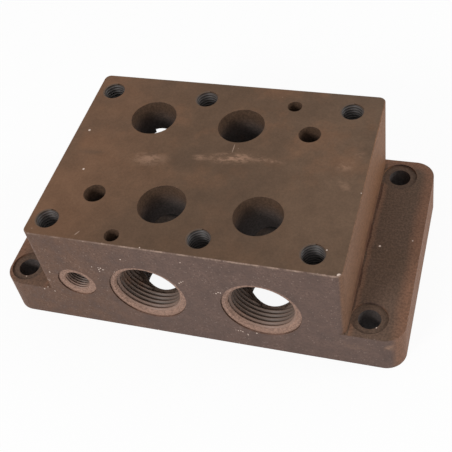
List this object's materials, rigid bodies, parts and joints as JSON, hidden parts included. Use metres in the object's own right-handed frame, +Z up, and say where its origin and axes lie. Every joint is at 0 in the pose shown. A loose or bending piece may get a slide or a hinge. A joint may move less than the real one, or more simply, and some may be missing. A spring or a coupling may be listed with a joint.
{
  "type": "hydraulic valve subplate",
  "caption": "Cast-iron manifold block for one flange-mounted hydraulic directional valve, with cross-drilled passages, threaded side and bottom ports, and two bolt-down flanges.",
  "frame": {"origin": "centre of the footprint, on the underside", "axes": "+X along the long side to the right with the P and T ports in front, +Y to the back, +Z up out of the valve face"},
  "size_m": [0.2084, 0.115, 0.0682],
  "materials": {
    "cast_iron": "bare casting with an even brown film of rust, machined faces worn paler"
  },
  "bodies": {
    "root": {"manifold_block": "cast_iron"}
  },
  "joints": []
}
